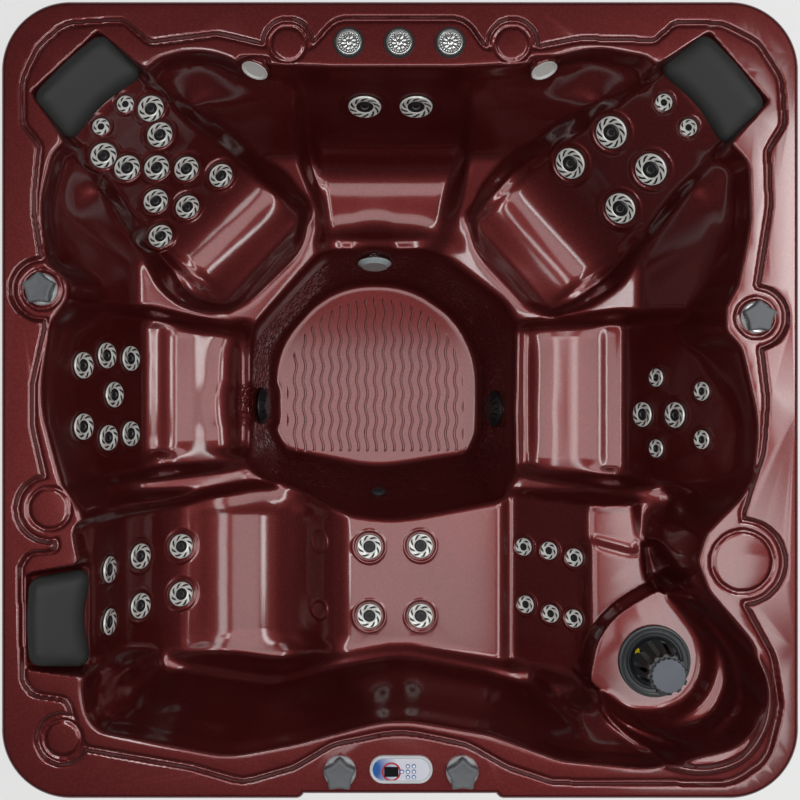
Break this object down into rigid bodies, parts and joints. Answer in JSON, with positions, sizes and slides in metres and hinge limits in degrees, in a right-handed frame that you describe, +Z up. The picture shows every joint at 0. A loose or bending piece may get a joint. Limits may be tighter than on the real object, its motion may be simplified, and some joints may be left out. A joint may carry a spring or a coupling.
{
  "type": "hot tub",
  "caption": "Square moulded hot tub with corner seats, a lounger, water jets, head pillows, deck knobs, a control panel and a skimmer, in a boarded cabinet.",
  "frame": {"origin": "middle of the base's underside", "axes": "+Z up, +Y from the control panel's side towards the side with the three round valves, +X to the right seen from above with the control panel nearest"},
  "size_m": [2.134, 2.134, 0.938],
  "materials": {
    "acrylic": "glossy burgundy acrylic with a fine pearl",
    "cabinet": "dark brown synthetic boards",
    "base_plastic": "black moulded sheet",
    "timber": "plain sawn softwood",
    "pillow_foam": "charcoal skinned foam",
    "black_plastic": "satin black",
    "jet_trim": "bright polished trim",
    "white_pipe": "white pressure pipe",
    "motor_paint": "dark grey paint",
    "steel": "brushed",
    "box_grey": "grey case",
    "silver_trim": "bright metallised plastic",
    "knob_grey": "mid grey moulded",
    "panel_plastic": "printed overlay on a black case",
    "display_glass": "pale grey green window",
    "button_plastic": "off-white caps",
    "dark_grey_plastic": "satin dark grey",
    "cap_grey": "bluish grey",
    "filter_cloth": "white pleated cloth",
    "light_lens": "clear grey lens",
    "white_plastic": "off-white"
  },
  "bodies": {
    "tub": {"base_pan": "base_plastic", "control_box": "box_grey", "control_panel": "panel_plastic", "corner_pillow_left": "pillow_foam", "corner_pillow_right": "pillow_foam", "corner_posts": "cabinet", "display_window": "display_glass", "drain_fitting": "dark_grey_plastic", "filter_canister": "dark_grey_plastic", "filter_cartridge": "filter_cloth", "footwell_cradle": "base_plastic", "footwell_light": "light_lens", "frame_rails": "timber", "frame_studs": "timber", "front_panel": "cabinet", "heater": "steel", "jet_bodies": "white_pipe", "jet_lock_nuts": "white_pipe", "jet_nozzles": "black_plastic", "knob_collars": "silver_trim", "large_jet_nozzles": "black_plastic", "left_panel": "cabinet", "lounge_pillow": "pillow_foam", "medium_jets": "jet_trim", "neck_jets": "jet_trim", "panel_screws": "steel", "pillow_pins": "black_plastic", "pump_motors": "motor_paint", "pump_wet_ends": "black_plastic", "rear_panel": "cabinet", "rear_valve_rings": "black_plastic", "right_panel": "cabinet", "shell": "acrylic", "small_jets": "jet_trim", "spout_lenses": "white_plastic", "suction_covers": "dark_grey_plastic", "valve_bodies": "white_pipe", "water_pipes": "white_pipe"},
    "left_diverter_knob_body": {"left_diverter_knob": "knob_grey"},
    "right_diverter_knob_body": {"right_diverter_knob": "knob_grey"},
    "left_air_knob_body": {"left_air_knob": "knob_grey"},
    "right_air_knob_body": {"right_air_knob": "knob_grey"},
    "rear_valve_left_body": {"rear_valve_left": "silver_trim"},
    "rear_valve_middle_body": {"rear_valve_middle": "silver_trim"},
    "rear_valve_right_body": {"rear_valve_right": "silver_trim"},
    "large_jet_1_body": {"large_jet_1": "jet_trim"},
    "large_jet_2_body": {"large_jet_2": "jet_trim"},
    "large_jet_3_body": {"large_jet_3": "jet_trim"},
    "large_jet_4_body": {"large_jet_4": "jet_trim"},
    "large_jet_5_body": {"large_jet_5": "jet_trim"},
    "large_jet_6_body": {"large_jet_6": "jet_trim"},
    "button_1_body": {"button_1": "button_plastic"},
    "button_2_body": {"button_2": "button_plastic"},
    "button_3_body": {"button_3": "button_plastic"},
    "button_4_body": {"button_4": "button_plastic"},
    "button_5_body": {"button_5": "button_plastic"},
    "button_6_body": {"button_6": "button_plastic"},
    "button_7_body": {"button_7": "button_plastic"},
    "skimmer": {"skimmer_cage": "dark_grey_plastic", "skimmer_cap": "cap_grey"}
  },
  "joints": [
    {"name": "left_diverter_knob_turn", "type": "hinge", "parent": "tub", "child": "left_diverter_knob_body", "pos_m": [-0.958, 0.296, 0.892], "axis": [0, 0, -1], "range_deg": [0, 180]},
    {"name": "right_diverter_knob_turn", "type": "hinge", "parent": "tub", "child": "right_diverter_knob_body", "pos_m": [0.954, 0.221, 0.892], "axis": [0, 0, -1], "range_deg": [0, 180]},
    {"name": "left_air_knob_turn", "type": "hinge", "parent": "tub", "child": "left_air_knob_body", "pos_m": [-0.16, -0.991, 0.9], "axis": [0, 0, -1], "range_deg": [0, 90]},
    {"name": "right_air_knob_turn", "type": "hinge", "parent": "tub", "child": "right_air_knob_body", "pos_m": [0.166, -0.991, 0.9], "axis": [0, 0, -1], "range_deg": [0, 90]},
    {"name": "rear_valve_left_turn", "type": "hinge", "parent": "tub", "child": "rear_valve_left_body", "pos_m": [-0.137, 0.956, 0.892], "axis": [0, 0, -1], "range_deg": [0, 90]},
    {"name": "rear_valve_middle_turn", "type": "hinge", "parent": "tub", "child": "rear_valve_middle_body", "pos_m": [-0.002, 0.956, 0.892], "axis": [0, 0, -1], "range_deg": [0, 90]},
    {"name": "rear_valve_right_turn", "type": "hinge", "parent": "tub", "child": "rear_valve_right_body", "pos_m": [0.134, 0.956, 0.892], "axis": [0, 0, -1], "range_deg": [0, 90]},
    {"name": "large_jet_1_turn", "type": "hinge", "parent": "tub", "child": "large_jet_1_body", "pos_m": [-0.101, 0.84213, 0.696], "axis": [0, -0.9276, 0.3737], "range_deg": [0, 90]},
    {"name": "large_jet_2_turn", "type": "hinge", "parent": "tub", "child": "large_jet_2_body", "pos_m": [0.046, 0.84213, 0.696], "axis": [0, -0.9276, 0.3737], "range_deg": [0, 90]},
    {"name": "large_jet_3_turn", "type": "hinge", "parent": "tub", "child": "large_jet_3_body", "pos_m": [0.61682, 0.78051, 0.643], "axis": [-0.5395, -0.4624, 0.7037], "range_deg": [0, 90]},
    {"name": "large_jet_4_turn", "type": "hinge", "parent": "tub", "child": "large_jet_4_body", "pos_m": [0.51626, 0.71671, 0.524], "axis": [-0.5395, -0.4624, 0.7037], "range_deg": [0, 90]},
    {"name": "large_jet_5_turn", "type": "hinge", "parent": "tub", "child": "large_jet_5_body", "pos_m": [0.72876, 0.66968, 0.656], "axis": [-0.5395, -0.4624, 0.7037], "range_deg": [0, 90]},
    {"name": "large_jet_6_turn", "type": "hinge", "parent": "tub", "child": "large_jet_6_body", "pos_m": [0.66351, 0.57688, 0.545], "axis": [-0.5395, -0.4624, 0.7037], "range_deg": [0, 90]},
    {"name": "button_1_press", "type": "slide", "parent": "tub", "child": "button_1_body", "axis": [0, 0, -1], "range_m": [0, 0.0008], "stiffness_N_per_m": 900},
    {"name": "button_2_press", "type": "slide", "parent": "tub", "child": "button_2_body", "axis": [0, 0, -1], "range_m": [0, 0.0008], "stiffness_N_per_m": 900},
    {"name": "button_3_press", "type": "slide", "parent": "tub", "child": "button_3_body", "axis": [0, 0, -1], "range_m": [0, 0.0008], "stiffness_N_per_m": 900},
    {"name": "button_4_press", "type": "slide", "parent": "tub", "child": "button_4_body", "axis": [0, 0, -1], "range_m": [0, 0.0008], "stiffness_N_per_m": 900},
    {"name": "button_5_press", "type": "slide", "parent": "tub", "child": "button_5_body", "axis": [0, 0, -1], "range_m": [0, 0.0008], "stiffness_N_per_m": 900},
    {"name": "button_6_press", "type": "slide", "parent": "tub", "child": "button_6_body", "axis": [0, 0, -1], "range_m": [0, 0.0008], "stiffness_N_per_m": 900},
    {"name": "button_7_press", "type": "slide", "parent": "tub", "child": "button_7_body", "axis": [0, 0, -1], "range_m": [0, 0.0008], "stiffness_N_per_m": 900},
    {"name": "skimmer_float", "type": "slide", "parent": "tub", "child": "skimmer", "axis": [0, 0, -1], "range_m": [0, 0.06]}
  ]
}
